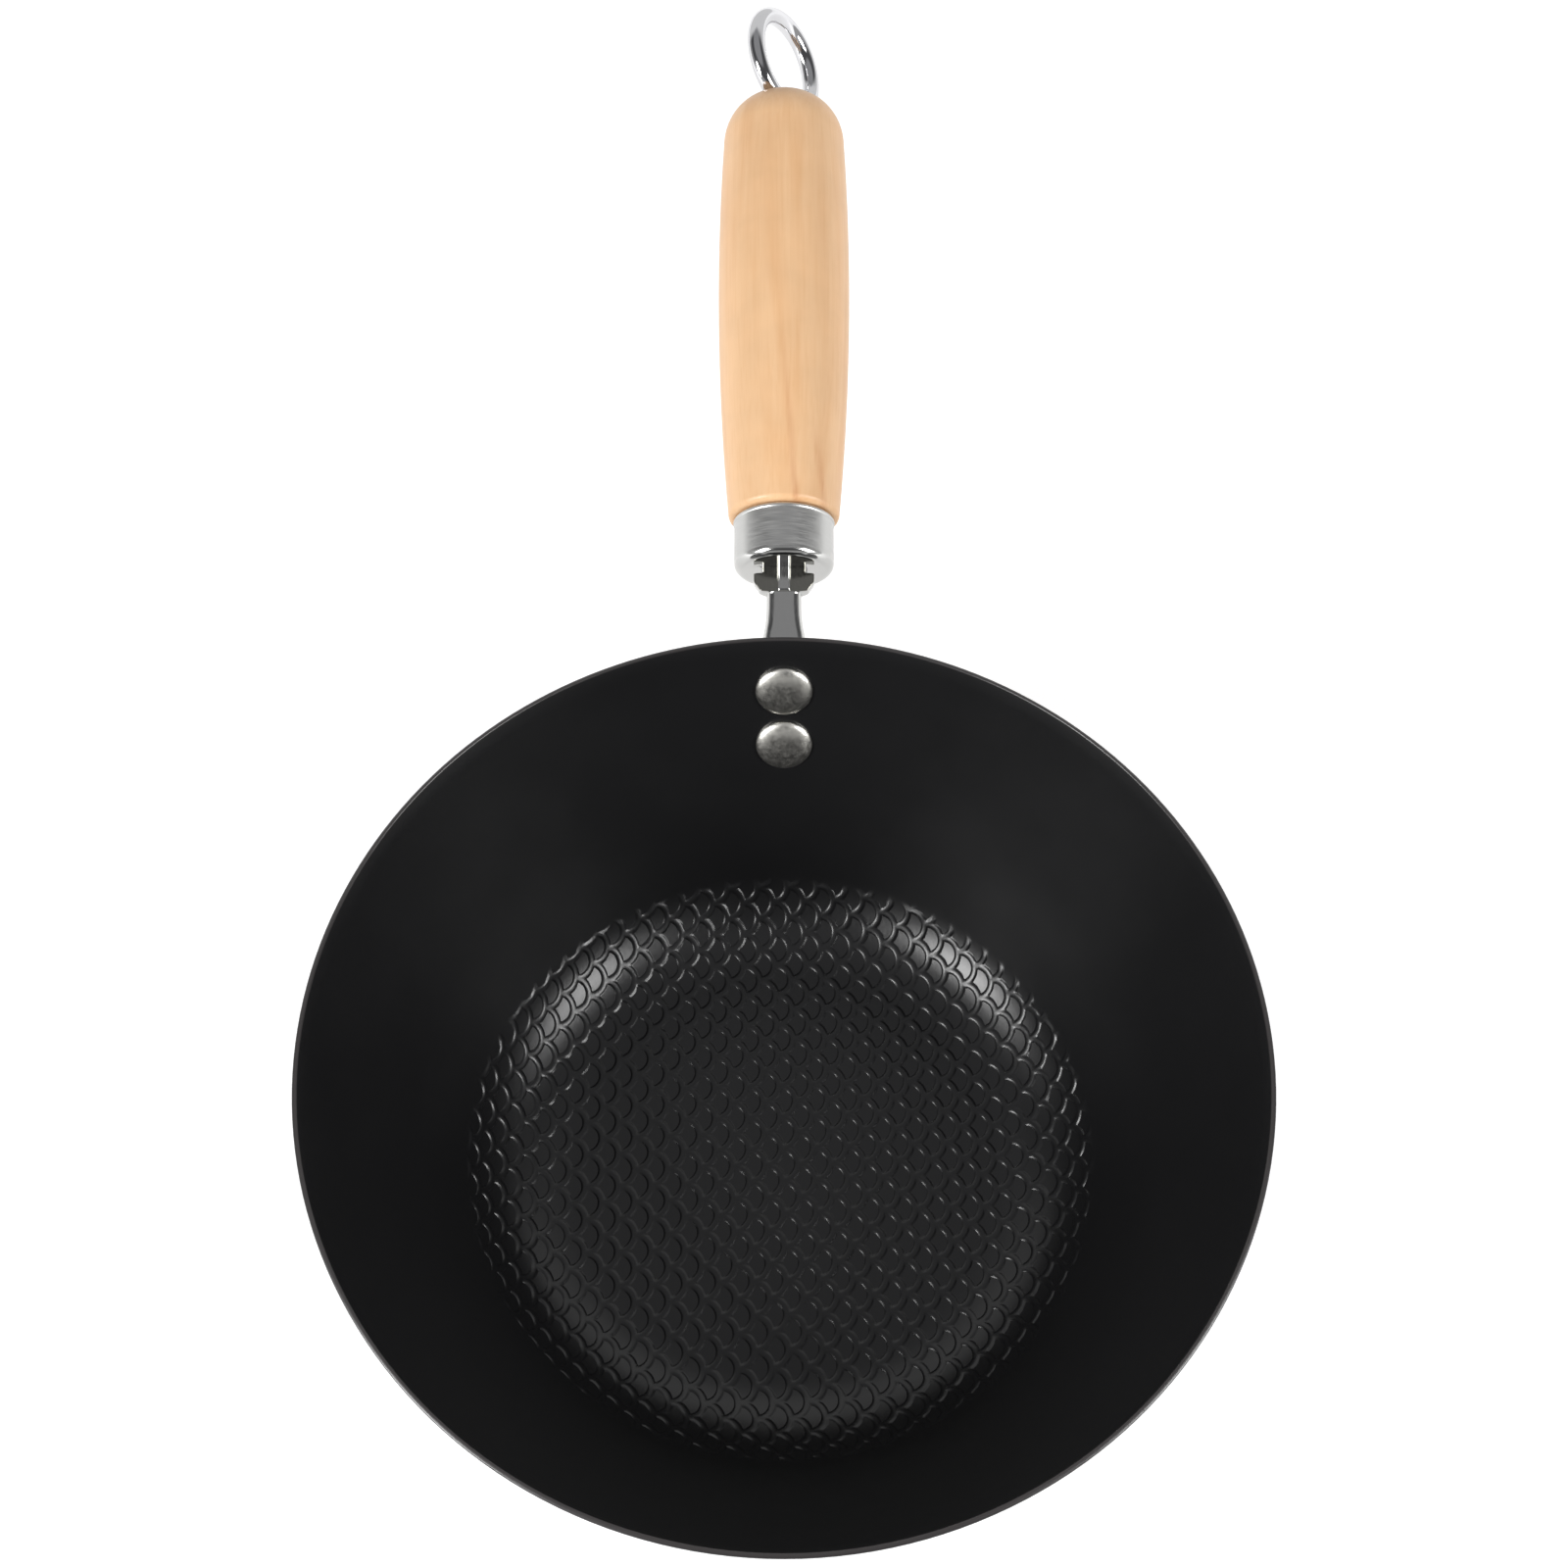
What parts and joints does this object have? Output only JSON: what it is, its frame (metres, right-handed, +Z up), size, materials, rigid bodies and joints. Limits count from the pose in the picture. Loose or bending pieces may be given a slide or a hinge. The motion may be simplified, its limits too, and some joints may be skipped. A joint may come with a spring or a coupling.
{
  "type": "wok",
  "caption": "Round flat-based wok of coated sheet iron with a riveted bracket, ferrule, turned wooden grip and hanging eye.",
  "frame": {"origin": "centre of the flat base's underside, on the bowl's axis", "axes": "+Z up along the bowl's axis, +Y towards the handle, +X to the right with the handle pointing away"},
  "size_m": [0.22, 0.4049, 0.1288],
  "materials": {
    "non_stick_coat": "satin black non-stick coat on pressed sheet iron",
    "plated_steel": "nickel-chrome plate on stamped steel",
    "polished_rivet": "polished steel",
    "ferrule_steel": "drawn steel, lightly brushed round, bright plate",
    "lacquered_wood": "pale close-grained hardwood, satin lacquer",
    "chromed_wire": "bright chrome on round wire",
    "zinc_steel": "zinc plate"
  },
  "bodies": {
    "pan": {"bowl": "non_stick_coat", "handle_bracket": "plated_steel", "rivet_upper": "polished_rivet", "rivet_lower": "polished_rivet", "ferrule": "ferrule_steel", "grip": "lacquered_wood", "rod_nut": "zinc_steel"},
    "eye": {"hanging_eye": "chromed_wire"}
  },
  "joints": [
    {"name": "eye_turn", "type": "hinge", "parent": "pan", "child": "eye", "pos_m": [0, 0.13059, 0.0811], "axis": [0, 0.9744, 0.225], "continuous": true}
  ]
}
